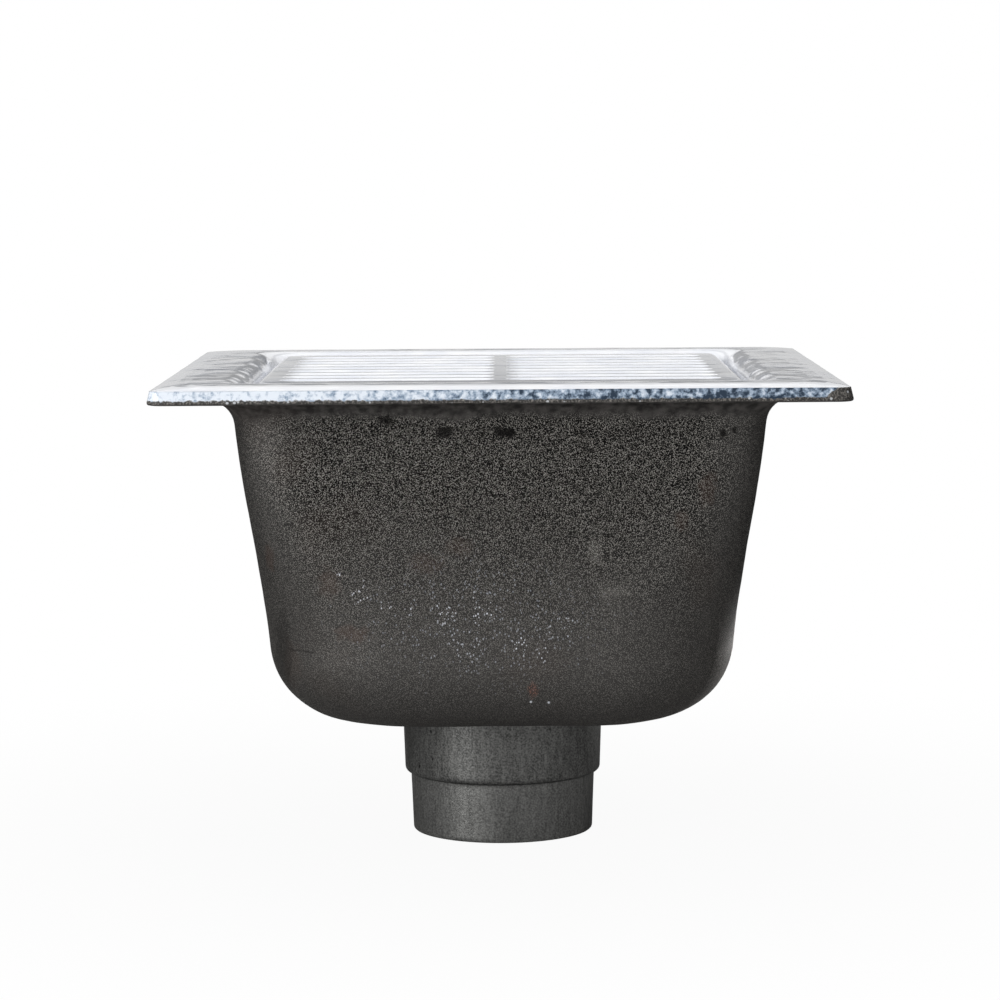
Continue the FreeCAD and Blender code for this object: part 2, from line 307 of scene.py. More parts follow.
def turnedIron():
    # the outlet's outside, coated like the tub but smoother: fine speckle, faint upright streaks, pinholes,
    # and painted light low on the spigot
    material, tree, shader, place = newMaterial("cast iron outlet, dip coated")
    upright = addNode(tree, "ShaderNodeMapping", None, {
        "Vector": place, "Scale": (1.0, 1.0, 0.15)}).outputs[0]
    streak = addNode(tree, "ShaderNodeTexNoise", None, {
        "Vector": upright, "Scale": perMetre(outletLook["streak"]), "Detail": 2.0}).outputs[0]
    fine = addNode(tree, "ShaderNodeTexNoise", None, {
        "Vector": place, "Scale": perMetre(outletLook["grainSize"]), "Detail": 1.0}).outputs[0]
    both = addNode(tree, "ShaderNodeMath", {"operation": "MULTIPLY_ADD"}, {
        0: streak, 1: 0.45, 2: fine}).outputs[0]
    tone = addNode(tree, "ShaderNodeMapRange", None, {
        "Value": both, "From Min": 0.5, "From Max": 0.98}).outputs[0]
    level = addNode(tree, "ShaderNodeSeparateXYZ", None, {0: place}).outputs[2]
    # painted light: the spigot is painted brighter below the collar's foot
    paintedSpigotLight = addNode(tree, "ShaderNodeMapRange", {"interpolation_type": "SMOOTHSTEP"}, {
        "Value": level, "From Min": outletLook["paintedSpigotLight"] * mm,
        "From Max": (outletLook["paintedSpigotLight"] - 1) * mm, "To Max": 0.3}).outputs[0]
    tone = addNode(tree, "ShaderNodeMath", {"operation": "ADD"}, {0: tone, 1: paintedSpigotLight}).outputs[0]
    colour = addNode(tree, "ShaderNodeMix", {"data_type": "RGBA", "clamp_factor": False}, {
        0: tone, 6: linear(outletLook["dark"]), 7: linear(outletLook["light"])}).outputs[2]
    cells = addNode(tree, "ShaderNodeTexVoronoi", None, {
        "Vector": place, "Scale": perMetre(outletLook["pitSize"])}).outputs
    pit = addNode(tree, "ShaderNodeMapRange", {"interpolation_type": "SMOOTHSTEP"}, {
        "Value": cells["Distance"], "From Min": 0.14, "From Max": 0.05, "To Max": 0.8}).outputs[0]
    some = addNode(tree, "ShaderNodeMath", {"operation": "GREATER_THAN"}, {
        0: cells["Color"], 1: 0.62}).outputs[0]
    pit = addNode(tree, "ShaderNodeMath", {"operation": "MULTIPLY"}, {0: pit, 1: some}).outputs[0]
    colour = addNode(tree, "ShaderNodeMix", {"data_type": "RGBA"}, {
        0: pit, 6: colour, 7: linear(outletLook["pit"])}).outputs[2]
    height = addNode(tree, "ShaderNodeMath", {"operation": "SUBTRACT"}, {0: both, 1: pit}).outputs[0]
    bump = addNode(tree, "ShaderNodeBump", None, {
        "Strength": 0.35, "Distance": 0.2 * mm, "Height": height}).outputs[0]
    tree.links.new(colour, shader.inputs["Base Color"])
    tree.links.new(bump, shader.inputs["Normal"])
    shader.inputs["Roughness"].default_value = 0.4
    shader.inputs["Metallic"].default_value = 0.85
    shader.inputs["Specular Tint"].default_value = (0.3, 0.3, 0.3, 1.0)
    return material


enamelLook = {"white": "#eeeff2", "thin": "#dcdfe7", "wave": 24.0, "peel": 5.0}


def porcelainEnamel(name, depth):
    # glass fused on iron: a glossy white that lies in slow waves and shows a trace of grey where it is thin
    material, tree, shader, place = newMaterial(name)
    wave = addNode(tree, "ShaderNodeTexNoise", None, {
        "Vector": place, "Scale": perMetre(enamelLook["wave"]), "Detail": 2.0, "Roughness": 0.5}).outputs[0]
    peel = addNode(tree, "ShaderNodeTexNoise", None, {
        "Vector": place, "Scale": perMetre(enamelLook["peel"]), "Detail": 1.0}).outputs[0]
    tone = addNode(tree, "ShaderNodeMapRange", None, {
        "Value": wave, "From Min": 0.35, "From Max": 0.7}).outputs[0]
    colour = addNode(tree, "ShaderNodeMix", {"data_type": "RGBA"}, {
        0: tone, 6: linear(enamelLook["white"]), 7: linear(enamelLook["thin"])}).outputs[2]
    height = addNode(tree, "ShaderNodeMath", {"operation": "MULTIPLY_ADD"}, {
        0: peel, 1: 0.08, 2: wave}).outputs[0]
    bump = addNode(tree, "ShaderNodeBump", None, {
        "Strength": 0.6, "Distance": depth * mm, "Height": height}).outputs[0]
    tree.links.new(colour, shader.inputs["Base Color"])
    tree.links.new(bump, shader.inputs["Normal"])
    shader.inputs["Roughness"].default_value = 0.06
    shader.inputs["IOR"].default_value = 1.52
    return material


rimLook = {
    "pale": "#e3eaf3",
    "cloud": "#93a5ba",        # where the white is thin
    "ground": "#333f4e",       # blue-black ground coat under it
    "raw": "#262422",
    "worn": "#7a7671",
    "bead": "#c9ccd0",
    "mottle": 2.6,
    "drift": 11.0,
    "grit": 0.9,
    "beads": 3.4,
    "thins": (-100.0, 50.0),   # the white coat thins from here to there along X
    "rawCorner": (291.5, 298.5),       # X less Y where the bare corner starts and is full
    "rawLevel": 215.3,
    "crest": 219.4,
}


def enamelledRim():
    # the rim face, where the white coat runs out: blue-black ground coat breaks through it, then bare iron
    material, tree, shader, place = newMaterial("porcelain enamel running out on iron")
    axes = addNode(tree, "ShaderNodeSeparateXYZ", None, {0: place}).outputs
    mottle = addNode(tree, "ShaderNodeTexNoise", None, {
        "Vector": place, "Scale": perMetre(rimLook["mottle"]), "Detail": 3.0, "Roughness": 0.6}).outputs[0]
    cloud = addNode(tree, "ShaderNodeTexNoise", None, {
        "Vector": place, "Scale": perMetre(rimLook["drift"]), "Detail": 2.0}).outputs[0]
    # thinner towards one side of the drain, and in slow drifts along the rim
    thick, thin = (x * mm for x in rimLook["thins"])
    share = addNode(tree, "ShaderNodeMapRange", None, {
        "Value": axes[0], "From Min": thick, "From Max": thin, "To Min": -0.17, "To Max": 0.085}).outputs[0]
    drift = addNode(tree, "ShaderNodeMath", {"operation": "MULTIPLY_ADD"}, {
        0: cloud, 1: 0.25, 2: share}).outputs[0]
    lean = addNode(tree, "ShaderNodeMath", {"operation": "ADD"}, {0: mottle, 1: drift}).outputs[0]
    soft = addNode(tree, "ShaderNodeMapRange", {"interpolation_type": "SMOOTHSTEP"}, {
        "Value": lean, "From Min": 0.42, "From Max": 0.7}).outputs[0]
    bare = addNode(tree, "ShaderNodeMapRange", {"interpolation_type": "SMOOTHSTEP"}, {
        "Value": lean, "From Min": 0.6, "From Max": 0.82}).outputs[0]
    colour = addNode(tree, "ShaderNodeMix", {"data_type": "RGBA"}, {
        0: soft, 6: linear(rimLook["pale"]), 7: linear(rimLook["cloud"])}).outputs[2]
    colour = addNode(tree, "ShaderNodeMix", {"data_type": "RGBA"}, {
        0: bare, 6: colour, 7: linear(rimLook["ground"])}).outputs[2]
    # a thin grey line along the crest
    crest = addNode(tree, "ShaderNodeMapRange", {"interpolation_type": "SMOOTHSTEP"}, {
        "Value": axes[2], "From Min": (rimLook["crest"] - 0.5) * mm, "From Max": rimLook["crest"] * mm,
        "To Max": 0.7}).outputs[0]
    crest = addNode(tree, "ShaderNodeMath", {"operation": "MULTIPLY"}, {0: crest, 1: cloud}).outputs[0]
    colour = addNode(tree, "ShaderNodeMix", {"data_type": "RGBA"}, {
        0: crest, 6: colour, 7: linear(rimLook["ground"])}).outputs[2]
    # bare iron along the lower edge and at one corner
    corner = addNode(tree, "ShaderNodeMath", {"operation": "SUBTRACT"}, {0: axes[0], 1: axes[1]}).outputs[0]
    start, stop = (reach * mm for reach in rimLook["rawCorner"])
    corner = addNode(tree, "ShaderNodeMapRange", None, {
        "Value": corner, "From Min": start, "From Max": stop, "To Max": 7 * mm}).outputs[0]
    rise = addNode(tree, "ShaderNodeMath", {"operation": "MULTIPLY_ADD"}, {
        0: mottle, 1: 3 * mm, 2: axes[2]}).outputs[0]
    rise = addNode(tree, "ShaderNodeMath", {"operation": "SUBTRACT"}, {0: rise, 1: corner}).outputs[0]
    raw = addNode(tree, "ShaderNodeMapRange", {"interpolation_type": "SMOOTHSTEP"}, {
        "Value": rise, "From Min": (rimLook["rawLevel"] + 1.8) * mm,
        "From Max": (rimLook["rawLevel"] + 1.2) * mm}).outputs[0]
    grit = addNode(tree, "ShaderNodeTexNoise", None, {
        "Vector": place, "Scale": perMetre(rimLook["grit"]), "Detail": 1.0}).outputs[0]
    grit = addNode(tree, "ShaderNodeMapRange", None, {
        "Value": grit, "From Min": 0.45, "From Max": 0.72}).outputs[0]
    iron = addNode(tree, "ShaderNodeMix", {"data_type": "RGBA"}, {
        0: grit, 6: linear(rimLook["raw"]), 7: linear(rimLook["worn"])}).outputs[2]
    colour = addNode(tree, "ShaderNodeMix", {"data_type": "RGBA"}, {0: raw, 6: colour, 7: iron}).outputs[2]
    drops = addNode(tree, "ShaderNodeTexVoronoi", None, {
        "Vector": place, "Scale": perMetre(rimLook["beads"])}).outputs["Distance"]
    bead = addNode(tree, "ShaderNodeMapRange", {"interpolation_type": "SMOOTHSTEP"}, {
        "Value": drops, "From Min": 0.24, "From Max": 0.12, "To Max": 0.8}).outputs[0]
    bead = addNode(tree, "ShaderNodeMath", {"operation": "MULTIPLY"}, {0: bead, 1: raw}).outputs[0]
    colour = addNode(tree, "ShaderNodeMix", {"data_type": "RGBA"}, {
        0: bead, 6: colour, 7: linear(rimLook["bead"])}).outputs[2]
    rough = addNode(tree, "ShaderNodeMapRange", None, {
        "Value": raw, "To Min": 0.14, "To Max": 0.55}).outputs[0]
    bump = addNode(tree, "ShaderNodeBump", None, {
        "Strength": 0.4, "Distance": 0.4 * mm, "Height": mottle}).outputs[0]
    tree.links.new(colour, shader.inputs["Base Color"])
    tree.links.new(rough, shader.inputs["Roughness"])
    tree.links.new(bump, shader.inputs["Normal"])
    return material


aluminiumLook = {"bright": "#b9bcbe", "dull": "#96999b", "grainSize": 0.8}


def castAluminium():
    # aluminium as it leaves the mould: a dull silver with a fine frosted grain
    material, tree, shader, place = newMaterial("aluminium, as cast")
    fine = addNode(tree, "ShaderNodeTexNoise", None, {
        "Vector": place, "Scale": perMetre(aluminiumLook["grainSize"]), "Detail": 3.0}).outputs[0]
    colour = addNode(tree, "ShaderNodeMix", {"data_type": "RGBA"}, {
        0: fine, 6: linear(aluminiumLook["dull"]), 7: linear(aluminiumLook["bright"])}).outputs[2]
    bump = addNode(tree, "ShaderNodeBump", None, {
        "Strength": 0.4, "Distance": 0.2 * mm, "Height": fine}).outputs[0]
    tree.links.new(colour, shader.inputs["Base Color"])
    tree.links.new(bump, shader.inputs["Normal"])
    shader.inputs["Metallic"].default_value = 1.0
    shader.inputs["Roughness"].default_value = 0.45
    return material


ironSkin = coatedIron()
outletSkin = turnedIron()
rimSkin = enamelledRim()
enamelSkin = porcelainEnamel("white porcelain enamel, fired", 0.6)
grateSkin = porcelainEnamel("white porcelain enamel on the grate, fired", 0.2)
aluminiumSkin = castAluminium()
print("materials made")


# Body: its section is drawn once, spun round the axis, and each ring then squared up

body = {
    "straightSteps": 56,       # ring divisions on each side and in each corner
    "cornerSteps": 22,
    "bore": 38.1,
    "spigot": (42.55, 43.6),   # radius at its end and under the collar: the mould's draft
    "collar": (46.3, 47.4),    # at its foot and under the tub
    "collarFoot": 28.0,
    "tubBottom": 60.2,
    "outletPatch": (64.0, 30.0),       # half width and corner where the round outlet turns square
    "bottomRound": 38.4,
    # depth below the lip, half width, corner radius: the walls lean in with a slight S
    "wall": [(160.0, 103.7, 58.0), (122.0, 106.9, 58.0), (105.0, 108.4, 53.0), (75.0, 111.7, 39.0),
             (40.0, 116.0, 25.0), (8.0, 119.2, 19.5), (6.4, 119.4, 19.0)],
    "wallRows": 20,            # rings drawn on that curve
    "thickness": 6.5,
    "flangeHalf": 152.3,
    "flangeUnderside": 213.2,
    "underRound": 13.0,
    "rimBevel": 1.5,
    "flangeCorner": 6.0,
    "lip": 219.5,
    "crownWidth": 14.0,
    "top": 220.85,
    "pocketHalf": 112.5,
    "pocketCorner": 15.0,
    "pocketRound": 10.0,
    "ledge": 208.7,            # a hair under the grate's rest
    "ledgeWidth": 8.0,
    "ledgeNose": 3.0,
    "ledgeFoot": 196.0,
    "floor": 66.3,
    "floorFall": (62.0, 64.7),
    "seat": (46.0, 61.1),
}


def wallAt(depth):
    # half width and corner radius on a smooth curve through the rows
    rows = [Vector(row) for row in body["wall"]]
    for i in range(len(rows) - 1):
        here, there = rows[i], rows[i + 1]
        if there[0] <= depth <= here[0]:
            span = there[0] - here[0]
            share = (depth - here[0]) / span
            before = rows[max(0, i - 1)]
            after = rows[min(len(rows) - 1, i + 2)]
            leave = (there - before) / (there[0] - before[0]) * span
            arrive = (after - here) / (after[0] - here[0]) * span
            spot = (here * (2 * share ** 3 - 3 * share ** 2 + 1)
                    + leave * (share ** 3 - 2 * share ** 2 + share)
                    + there * (3 * share ** 2 - 2 * share ** 3)
                    + arrive * (share ** 3 - share ** 2))
            return spot[1], spot[2]
    return rows[-1][1], rows[-1][2]


def drawSection():
    b = body
    lipHalf = b["flangeHalf"] - b["rimBevel"]
    ledgeHalf = b["pocketHalf"] - b["ledgeWidth"]
    floorHalf = b["wall"][0][1] - b["thickness"]
    # half width, level, corner radius (None for a round ring), edge softening, step length, skin
    rows = [
        (b["bore"], 0.0, None, 0.9, 2.0, 1),
        (b["spigot"][0], 0.0, None, 1.3, 2.0, 1),
        (b["spigot"][1], b["collarFoot"], None, 0.8, 1.4, 1),
        (b["collar"][0], b["collarFoot"], None, 2.2, 0.7, 1),
        (b["collar"][1], b["tubBottom"], None, 1.8, 1.6, 1),
        (b["outletPatch"][0], b["tubBottom"], b["outletPatch"][1], 0.0, 3.5, 0),
        (b["wall"][0][1], b["tubBottom"], b["wall"][0][2], b["bottomRound"], 2.6, 0),
    ]
    low = b["wall"][1][0]
    high = b["lip"] - b["flangeUnderside"] + b["underRound"]      # the flare to the flange starts here
    depths = [low + (high - low) * i / b["wallRows"] for i in range(b["wallRows"] + 1)]
    for depth in depths:
        half, corner = wallAt(depth)
        rows.append((half, b["lip"] - depth, corner, 0.0, 2.4, 0))
    half, corner = b["wall"][-1][1:]
    rows += [
        (half, b["flangeUnderside"], corner, b["underRound"], 2.2, 0),
        (b["flangeHalf"], b["flangeUnderside"], b["flangeCorner"], 1.1, 3.0, 0),
        (lipHalf, b["lip"], b["flangeCorner"] - 1, 0.5, 0.6, 2),
        (lipHalf - b["crownWidth"] * 0.25, b["lip"] + (b["top"] - b["lip"]) * 0.4375, 9.0, 3.0, 0.7, 3),
        (lipHalf - b["crownWidth"] * 0.6, b["lip"] + (b["top"] - b["lip"]) * 0.84, 12.0, 4.0, 1.0, 3),
        (lipHalf - b["crownWidth"], b["top"], 16.0, 4.0, 1.4, 3),
        (b["pocketHalf"], b["top"], b["pocketCorner"], b["pocketRound"], 2.0, 3),
        (b["pocketHalf"], b["ledge"], b["pocketCorner"], 1.5, 1.2, 3),
        (ledgeHalf, b["ledge"], b["pocketCorner"] - 4, 1.3, 1.2, 3),
        (ledgeHalf, b["ledge"] - b["ledgeNose"], b["pocketCorner"] - 4, 1.3, 1.0, 3),
        (wallAt(b["lip"] - b["ledgeFoot"])[0] - b["thickness"], b["ledgeFoot"], 16.0, 5.0, 2.0, 3),
    ]
    for depth in reversed(depths):
        half, corner = wallAt(depth)
        if b["lip"] - depth < b["ledgeFoot"] - 2 * b["thickness"]:
            rows.append((half - b["thickness"], b["lip"] - depth, corner - b["thickness"], 0.0, 5.0, 3))
    rows += [
        (floorHalf, b["floor"], b["wall"][0][2] - b["thickness"],
         b["bottomRound"] - b["thickness"], 4.0, 3),
        (b["floorFall"][0], b["floor"], None, 2.0, 5.0, 3),
        (b["seat"][0], b["floorFall"][1], None, 0.8, 4.0, 3),
        (b["seat"][0], b["seat"][1], None, 0.6, 1.2, 3),
        (b["bore"], b["seat"][1], None, 0.9, 2.0, 3),
    ]
    return rows


def softened(rows):
    # turns the section's corners into arcs and divides its runs
    # a ring is half width, level, corner radius, roundness, skin
    rings = []
    spots = [Vector((r[0], r[1])) for r in rows]
    count = len(rows)

    def corner(index):
        return rows[index][2] if rows[index][2] is not None else rows[index][0]

    def between(i, j, share):
        roundness = [1.0 if rows[k][2] is None else 0.0 for k in (i, j)]
        return (corner(i) + (corner(j) - corner(i)) * share,
                roundness[0] + (roundness[1] - roundness[0]) * share)

    trims = []
    for i in range(count):
        back = spots[i - 1] - spots[i]
        ahead = spots[(i + 1) % count] - spots[i]
        half = back.angle(ahead) / 2
        trims.append(rows[i][3] / math.tan(half) if rows[i][3] else 0.0)
    for i in range(count):
        j = (i + 1) % count
        here, there = spots[i], spots[j]
        way = (there - here).normalized()
        length = (there - here).length
        # arc round this corner, from the run before to the run after
        if rows[i][3]:
            before = (spots[i - 1] - here).normalized()
            bisector = (before + way).normalized()
            half = before.angle(way) / 2
            centre = here + bisector * (rows[i][3] / math.sin(half))
            first = here + before * trims[i] - centre
            last = here + way * trims[i] - centre
            sweep = first.angle_signed(last)
            steps = max(3, min(28, round(abs(sweep) * rows[i][3] / rows[i][4])))
            lastRun = (spots[i - 1] - here).length
            a = between(i - 1, i, 1 - trims[i] / lastRun)
            c = between(i, j, trims[i] / length)
            widening = last.x - first.x
            for step in range(steps):
                share = step / steps
                turned = Matrix.Rotation(-sweep * share, 2) @ first
                skin = rows[i][5] if share < 0.5 else rows[j][5]
                # the plan's corners change with its width, so that no crease shows down them
                grown = (turned.x - first.x) / widening if abs(widening) > 0.01 else share
                spot = centre + turned
                rings.append((spot.x, spot.y, a[0] + (c[0] - a[0]) * grown,
                              a[1] + (c[1] - a[1]) * grown, skin))
        start, stop = trims[i], length - trims[j]
        steps = max(1, round((stop - start) / rows[j][4]))
        for step in range(steps):
            reach = start + (stop - start) * step / steps
            spot = here + way * reach
            rings.append((spot.x, spot.y) + between(i, j, reach / length) + (rows[j][5],))
    return rings


def ringSpot(half, corner, roundness, index):
    straight, bend = body["straightSteps"] // 2, body["cornerSteps"]
    quarter = 2 * straight + bend
    flat = half - corner
    step = index % quarter
    if step <= straight:
        square = Vector((half, flat * step / straight))
    elif step < straight + bend:
        angle = math.pi / 2 * (step - straight) / bend
        square = Vector((flat + corner * math.cos(angle), flat + corner * math.sin(angle)))
    else:
        square = Vector((flat * (quarter - step) / straight, half))
    angle = math.pi / 2 * step / quarter
    circle = Vector((half * math.cos(angle), half * math.sin(angle)))
    return Matrix.Rotation(math.pi / 2 * (index // quarter), 2) @ square.lerp(circle, roundness)


def makeBody():
    rings = softened(drawSection())
    around = 4 * (body["straightSteps"] + body["cornerSteps"])
    clearSelection()
    bpy.ops.mesh.primitive_circle_add(vertices=len(rings), radius=0.01)
    piece = bpy.context.object
    piece.name = "enamelled_body"
    station = piece.data.attributes.new("station", "INT", "POINT")
    for index, ring in enumerate(rings):
        piece.data.vertices[index].co = (ring[0] * mm, 0, ring[1] * mm)
        station.data[index].value = index
    bpy.ops.object.mode_set(mode="EDIT")
    bpy.ops.mesh.select_all(action="SELECT")
    bpy.ops.mesh.spin(steps=around, angle=math.tau, center=(0, 0, 0), axis=(0, 0, 1))
    bpy.ops.mesh.select_all(action="SELECT")
    bpy.ops.mesh.remove_doubles(threshold=0.01 * mm)
    bpy.ops.object.mode_set(mode="OBJECT")
    mesh = piece.data
    stations = [0] * len(mesh.vertices)
    mesh.attributes["station"].data.foreach_get("value", stations)
    for vertex, index in zip(mesh.vertices, stations):
        half, level, corner, roundness, skin = rings[index]
        turn = round(math.atan2(vertex.co.y, vertex.co.x) / math.tau * around) % around
        spot = ringSpot(half, corner, roundness, turn)
        vertex.co = (spot.x * mm, spot.y * mm, level * mm)
    bpy.ops.object.mode_set(mode="EDIT")
    bpy.ops.mesh.select_all(action="SELECT")
    bpy.ops.mesh.normals_make_consistent(inside=False)
    bpy.ops.object.mode_set(mode="OBJECT")
    for skin in (ironSkin, outletSkin, rimSkin, enamelSkin):
        mesh.materials.append(skin)
    last = len(rings) - 1
    for face in mesh.polygons:
        ends = [stations[v] for v in face.vertices]
        first = last if min(ends) == 0 and max(ends) == last else min(ends)
        face.material_index = rings[first][4]
    bpy.ops.object.shade_smooth()
    roughen(piece, stations, rings)
    mesh.attributes.remove(mesh.attributes["station"])
    print("body:", len(rings), "rings of", around, "->", len(mesh.polygons), "faces")
    return piece


casting = {"ironWave": 26.0, "ironDepth": 0.5, "enamelWave": 34.0, "enamelDepth": 0.22}


def roughen(piece, stations, rings):
    # slow unevenness of the casting and its enamel, as real shape
    groups = {0: "ironWaves", 1: "ironWaves", 3: "enamelWaves"}
    for name in ("ironWaves", "enamelWaves"):
        piece.vertex_groups.new(name=name)
    members = {}
    for vertex, index in enumerate(stations):
        members.setdefault(index, []).append(vertex)
    for index, ring in enumerate(rings):
        if ring[4] in groups:
            weight = 0.35 if ring[4] == 1 else 1.0
            weight *= min(1.0, ring[1] / 6) * min(1.0, abs(ring[1] - body["flangeUnderside"]) / 5 + 0.15)
            piece.vertex_groups[groups[ring[4]]].add(members[index], weight, "REPLACE")
    for name, size, depth in (("ironWaves", casting["ironWave"], casting["ironDepth"]),
                              ("enamelWaves", casting["enamelWave"], casting["enamelDepth"])):
        waves = bpy.data.textures.new(name, "CLOUDS")
        waves.noise_scale = size * mm
        waves.noise_depth = 2
        modifier(piece, "DISPLACE", texture=waves, texture_coords="LOCAL", vertex_group=name,
                 strength=depth * mm, mid_level=0.5)
    piece.vertex_groups.clear()


bodyPiece = makeBody()
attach(bodyPiece, "root")
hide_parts("body")


def spun(name, section, steps):
    # a closed section turned all the way round the upright axis
    clearSelection()
    bpy.ops.mesh.primitive_circle_add(vertices=len(section), radius=0.01)
    piece = bpy.context.object
    piece.name = name
    for vertex, (x, z) in zip(piece.data.vertices, section):
        vertex.co = (x * mm, 0, z * mm)
    bpy.ops.object.mode_set(mode="EDIT")
    bpy.ops.mesh.select_all(action="SELECT")
    bpy.ops.mesh.spin(steps=steps, angle=math.tau, center=(0, 0, 0), axis=(0, 0, 1))
    bpy.ops.mesh.select_all(action="SELECT")
    bpy.ops.mesh.remove_doubles(threshold=0.01 * mm)
    bpy.ops.mesh.delete_loose()
    bpy.ops.mesh.select_all(action="SELECT")
    bpy.ops.mesh.normals_make_consistent(inside=False)
    bpy.ops.object.mode_set(mode="OBJECT")
    return piece


def cutAway(piece, cutters):
    # takes the joined cutters out of a piece
    clearSelection()
    for cutter in cutters:
        cutter.select_set(True)
    bpy.context.view_layer.objects.active = cutters[0]
    bpy.ops.object.join()
    modifier(piece, "BOOLEAN", operation="DIFFERENCE", object=cutters[0], solver="EXACT")
    bpy.data.objects.remove(cutters[0])


def dress(piece, skin):
    clearSelection()
    piece.select_set(True)
    bpy.context.view_layer.objects.active = piece
    bpy.ops.object.shade_smooth()
    modifier(piece, "WEIGHTED_NORMAL", mode="FACE_AREA", weight=100)
    piece.data.materials.append(skin)


# Grate: a plate with slots cut through and every edge rolled

grate = {
    "side": 219.0,
    "corner": 12.0,
    "thickness": 11.0,
    "top": 219.8,
    "rows": 9,
    "pitch": 21.3,
    "slotWidth": 13.3,
    "slotEnd": 97.5,
    "middleBar": 8.0,
    "edgeRound": 4.0,
    "slotRound": 1.9,
    "footRound": 0.8,
    "slotSteps": 26,           # divisions round a slot's ends
    "clear": 4.0,              # the cutters run this far past the plate
    "overlap": 0.02,           # and their flare this far, for a clean cut
    "merge": 0.02,             # points closer than this become one
}


def upright(edge, mesh):
    a, b = (mesh.vertices[v].co for v in edge.vertices)
    return abs(a.x - b.x) < 1e-6 and abs(a.y - b.y) < 1e-6


def bevelWhere(piece, test, width, steps):
    clearSelection()
    bpy.context.view_layer.objects.active = piece
    piece.select_set(True)
    bpy.ops.object.mode_set(mode="EDIT")
    bpy.ops.mesh.select_mode(type="EDGE")
    bpy.ops.mesh.select_all(action="DESELECT")
    bpy.ops.object.mode_set(mode="OBJECT")
    for edge in piece.data.edges:
        edge.select = test(edge, piece.data)
    bpy.ops.object.mode_set(mode="EDIT")
    bpy.ops.mesh.bevel(offset=width * mm, segments=steps, affect="EDGES")
    bpy.ops.object.mode_set(mode="OBJECT")


def block(name, size, place):
    clearSelection()
    bpy.ops.mesh.primitive_cube_add(size=1, location=[p * mm for p in place])
    piece = bpy.context.object
    piece.name = name
    piece.scale = [s * mm for s in size]
    bpy.ops.object.transform_apply(location=True, rotation=True, scale=True)
    return piece


def rollEdges(piece, height, width, steps):
    # rounds the edges at this height where a level face meets an upright one
    kinds = {}
    for face in piece.data.polygons:
        for key in face.edge_keys:
            kinds.setdefault(key, []).append(abs(face.normal.z))

    def sharp(edge, mesh):
        up = kinds[edge.key]
        level = all(abs(mesh.vertices[v].co.z - height) < 1e-6 for v in edge.vertices)
        return level and max(up) > 0.99 and min(up) < 0.01

    bevelWhere(piece, sharp, width, steps)


def slotCutter(x, y):
    # a slot, flared at both ends so that it leaves rolled edges: spun, then drawn out to its length
    g = grate
    half = g["slotWidth"] / 2
    run = (g["slotEnd"] - g["middleBar"] / 2) / 2 - half
    foot = g["top"] - g["thickness"]
    sides = []
    for edge, inward, size in ((foot, 1, g["footRound"]), (g["top"], -1, g["slotRound"])):
        flare = half + size * 1.02
        line = [(flare, edge - inward * g["clear"]), (flare, edge - inward * g["overlap"])]
        for turn in (80, 64, 48, 32, 16, 0):
            angle = math.radians(turn)
            line.append((half + size * (1 - math.cos(angle)), edge + inward * size * (1 - math.sin(angle))))
        sides.append(line)
    outline = sides[0] + sides[1][::-1]
    piece = spun("slot", [(0, outline[0][1])] + outline + [(0, outline[-1][1])], g["slotSteps"])
    for vertex in piece.data.vertices:
        if abs(vertex.co.x) > 0.1 * mm:
            vertex.co.x += math.copysign(run * mm, vertex.co.x)
        vertex.co += Vector((x * mm, y * mm, 0))
    return piece


def makeGrate():
    g = grate
    middle = g["top"] - g["thickness"] / 2
    piece = block("enamelled_grate", (g["side"], g["side"], g["thickness"]), (0, 0, middle))
    bevelWhere(piece, upright, g["corner"], 8)
    top, foot = g["top"] * mm, (g["top"] - g["thickness"]) * mm
    rollEdges(piece, top, g["edgeRound"], 6)
    rollEdges(piece, foot, g["footRound"], 2)
    centre = (g["slotEnd"] + g["middleBar"] / 2) / 2
    slots = []
    for side in (-1, 1):
        for row in range(g["rows"]):
            slots.append(slotCutter(side * centre, (row - (g["rows"] - 1) / 2) * g["pitch"]))
    cutAway(piece, slots)

    # wide faces are cut into well-shaped triangles, so that none is left as a sliver
    bpy.ops.object.mode_set(mode="EDIT")
    bpy.ops.mesh.select_mode(type="FACE")
    bpy.ops.mesh.select_all(action="SELECT")
    bpy.ops.mesh.remove_doubles(threshold=g["merge"] * mm)
    bpy.ops.mesh.dissolve_degenerate(threshold=g["merge"] * mm)
    bpy.ops.mesh.dissolve_limited(angle_limit=math.radians(0.2))
    bpy.ops.mesh.quads_convert_to_tris(quad_method="BEAUTY", ngon_method="BEAUTY")
    bpy.ops.mesh.select_all(action="SELECT")
    bpy.ops.mesh.normals_make_consistent(inside=False)
    bpy.ops.object.mode_set(mode="OBJECT")
    dress(piece, grateSkin)
    print("grate:", len(piece.data.polygons), "faces")
    return piece


gratePiece = makeGrate()
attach(gratePiece, "root")
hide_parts("grate")


# Strainer: a slotted dome on a flat ring, its section spun and the slots cut out

strainer = {
    "ring": 44.9,
    "seat": 61.2,
    "ringTop": 64.7,
    "skirt": 37.2,
    "skirtFoot": 55.2,
    "ball": 42.75,             # radius of the dome and the level of its centre
    "ballCentre": 51.68,
    "crown": 91.9,             # the dome flattens out to this level
    "crownTurn": 64.0,         # degrees up the ball where that starts
    "wall": 3.2,
    "around": 96,
    "ballSteps": 12,
    "crownSteps": 10,
    "clear": 4.0,              # the slots' cutters run this far past the crown
    "slots": 12,
    "slotWidth": 5.0,
    "slotStart": 15.0,
    "slotFoot": 68.7,
    "edgeRound": 0.5,
}


